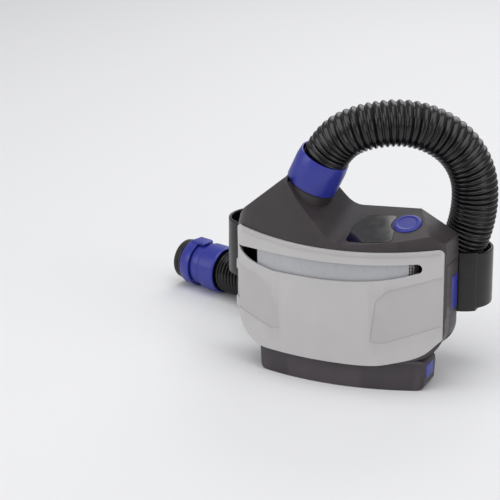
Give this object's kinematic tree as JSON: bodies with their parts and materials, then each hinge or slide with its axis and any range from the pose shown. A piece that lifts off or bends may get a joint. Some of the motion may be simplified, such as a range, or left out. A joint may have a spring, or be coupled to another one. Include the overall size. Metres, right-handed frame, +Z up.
{
  "type": "powered air respirator",
  "caption": "Belt-worn powered air respirator: blower unit with hinged filter cover, clip-in battery, belt and corrugated breathing hose.",
  "frame": {"origin": "on the battery's underside, which the unit stands on, 3.5 mm to the right of its middle", "axes": "+X towards the latch end of the unit, -Y out of the filter cover, +Z up"},
  "size_m": [0.3858, 0.2307, 0.2756],
  "materials": {
    "casing": "fine spark-eroded texture, satin",
    "cover_plastic": "moulded light grey, satin",
    "battery_plastic": "moulded dark grey, satin",
    "blue_plastic": "moulded blue, half gloss",
    "hose_rubber": "corrugated black rubber, half gloss",
    "belt_polymer": "smooth wipe-clean black strap",
    "black_plastic": "moulded black",
    "white_plastic": "moulded natural plastic",
    "seal_rubber": "soft black seal",
    "foam": "open-cell prefilter pad",
    "filter_paper": "pleated glass-fibre paper",
    "label_film": "plain metallised film",
    "mesh_steel": "woven stainless mesh",
    "steel": "zinc-plated steel",
    "cell_can": "sleeved battery cell",
    "circuit_board": "solder-masked board",
    "contact_metal": "plated contact",
    "display_gloss": "smoked glossy window",
    "indicator": "indicator light pipes"
  },
  "bodies": {
    "root": {"alarm_sounder": "black_plastic", "battery_pivot": "casing", "belt": "belt_polymer", "belt_bracket": "black_plastic", "belt_keepers": "belt_polymer", "belt_tail": "belt_polymer", "board_screws": "steel", "bracket_screws": "steel", "breathing_tube": "hose_rubber", "buckle_plug": "black_plastic", "buckle_socket": "black_plastic", "button_spring": "steel", "button_switch": "black_plastic", "casing_screws": "steel", "contact_blades": "contact_metal", "contact_block": "black_plastic", "control_board": "circuit_board", "cover_hinge_pin": "steel", "cover_latch_spring": "steel", "display_board": "circuit_board", "display_lights": "indicator", "display_window": "display_gloss", "fan_lid": "black_plastic", "fan_screws": "steel", "fan_scroll": "black_plastic", "far_collar": "blue_plastic", "far_sleeve": "black_plastic", "filter_seat": "black_plastic", "front_housing": "casing", "hose_cuff": "black_plastic", "latch_panel": "casing", "motor": "steel", "outlet_duct": "black_plastic", "outlet_seal": "seal_rubber", "rear_shell": "casing"},
    "cover": {"filter_cover": "cover_plastic", "filter_label": "label_film", "spark_arrestor": "mesh_steel", "prefilter": "foam", "filter_frame": "white_plastic", "filter_pleats": "filter_paper", "filter_gasket": "seal_rubber"},
    "cover_latch": {"cover_latch": "blue_plastic"},
    "on_off_button": {"on_off_button": "blue_plastic"},
    "impeller": {"impeller": "white_plastic", "motor_shaft": "steel"},
    "battery": {"battery_case": "battery_plastic", "battery_lid": "battery_plastic", "battery_cells": "cell_can", "battery_board": "circuit_board", "battery_terminals": "contact_metal", "battery_screws": "steel", "battery_latch_spring": "steel"},
    "battery_latch": {"battery_latch": "blue_plastic"},
    "bayonet_collar": {"bayonet_collar": "blue_plastic"},
    "release_ring": {"release_ring": "blue_plastic"},
    "end_connector": {"end_connector": "black_plastic", "end_seal": "seal_rubber"}
  },
  "joints": [
    {"name": "cover_hinge", "type": "hinge", "parent": "root", "child": "cover", "pos_m": [-0.1173, 0.0045, 0.085], "axis": [0, 0, -1], "range_deg": [0, 60]},
    {"name": "cover_latch_slide", "type": "slide", "parent": "root", "child": "cover_latch", "axis": [-1, 0, 0], "range_m": [0, 0.0025], "stiffness_N_per_m": 500, "springref_m": -0.002, "deforming": ["cover_latch_spring"]},
    {"name": "button_press", "type": "slide", "parent": "root", "child": "on_off_button", "axis": [0.0665, 0.3034, -0.9506], "range_m": [0, 0.0015], "stiffness_N_per_m": 600, "springref_m": -0.002, "deforming": ["button_spring"]},
    {"name": "impeller_spin", "type": "hinge", "parent": "root", "child": "impeller", "pos_m": [-0.018, 0.02, 0.084], "axis": [0, 1, 0], "continuous": true},
    {"name": "battery_swing", "type": "hinge", "parent": "root", "child": "battery", "pos_m": [-0.0873, 0.008, 0.0286], "axis": [0, 1, 0], "range_deg": [0, 20]},
    {"name": "battery_latch_slide", "type": "slide", "parent": "battery", "child": "battery_latch", "axis": [-1, 0, 0], "range_m": [0, 0.002], "stiffness_N_per_m": 500, "springref_m": -0.002, "deforming": ["battery_latch_spring"]},
    {"name": "collar_turn", "type": "hinge", "parent": "root", "child": "bayonet_collar", "pos_m": [-0.0447, 0.012, 0.1884], "axis": [0.4226, 0, 0.9063], "range_deg": [0, 45]},
    {"name": "ring_slide", "type": "slide", "parent": "root", "child": "release_ring", "axis": [0.9511, -0.309, 0], "range_m": [0, 0.003], "stiffness_N_per_m": 500, "springref_m": -0.002},
    {"name": "connector_swivel", "type": "hinge", "parent": "root", "child": "end_connector", "pos_m": [-0.201, 0.165, 0.0247], "axis": [-0.9511, 0.309, 0], "continuous": true}
  ]
}
